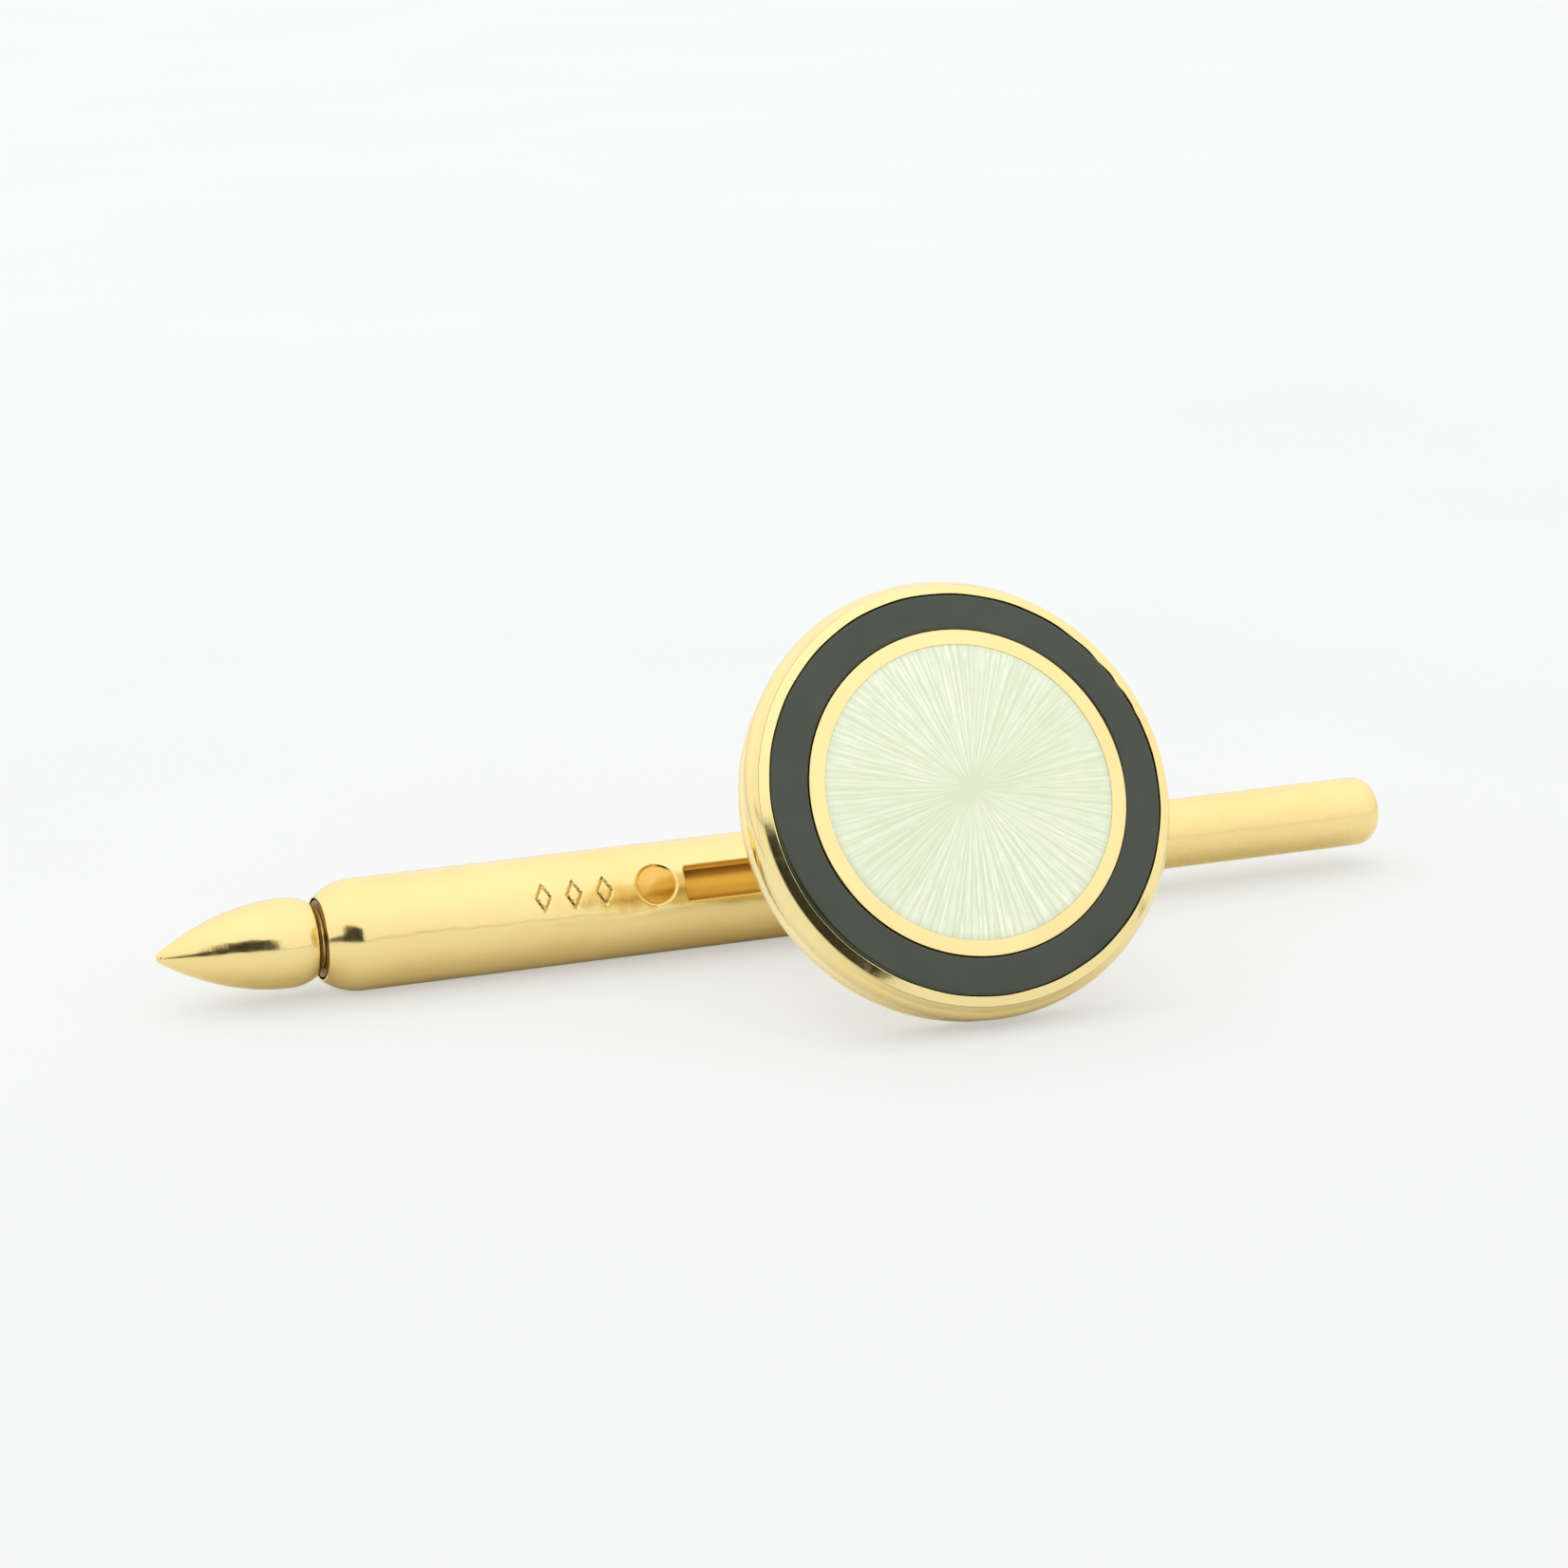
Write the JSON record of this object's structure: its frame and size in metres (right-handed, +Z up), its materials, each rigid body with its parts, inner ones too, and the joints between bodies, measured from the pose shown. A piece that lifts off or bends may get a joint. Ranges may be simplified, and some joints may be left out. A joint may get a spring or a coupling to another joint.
{
  "type": "dress stud",
  "caption": "Round enamelled dress stud on a post, with a sprung telescoping bar behind it that slips through a buttonhole and springs out",
  "frame": {"origin": "bottom centre of the bounding box of the stud as it rests on a table", "axes": "+X along the bar from the pointed tip to the plain rod end, +Z up; the enamelled face leans back from -Y"},
  "size_m": [0.0366, 0.0126, 0.011],
  "materials": {
    "polished_gold": "polished yellow gold",
    "inner_gold": "unpolished yellow gold inside the bar",
    "black_enamel": "glossy opaque enamel",
    "pale_enamel": "glossy translucent enamel over an engine-turned ground",
    "spring_steel": "drawn wire"
  },
  "bodies": {
    "stud": {"bezel": "polished_gold", "face_plate": "polished_gold", "black_enamel_ring": "black_enamel", "pale_enamel_disc": "pale_enamel", "back_plate": "polished_gold", "post": "polished_gold", "inner_rod": "polished_gold", "return_spring": "spring_steel"},
    "sleeve": {"slide_tube": "polished_gold", "guide_bush": "polished_gold", "threaded_bush": "inner_gold", "bullet_tip": "polished_gold"}
  },
  "joints": [
    {"name": "tube_slide", "type": "slide", "parent": "stud", "child": "sleeve", "axis": [1, 0, 0], "range_m": [0, 0.0048], "stiffness_N_per_m": 150, "springref_m": -0.002, "deforming": ["return_spring"]}
  ]
}
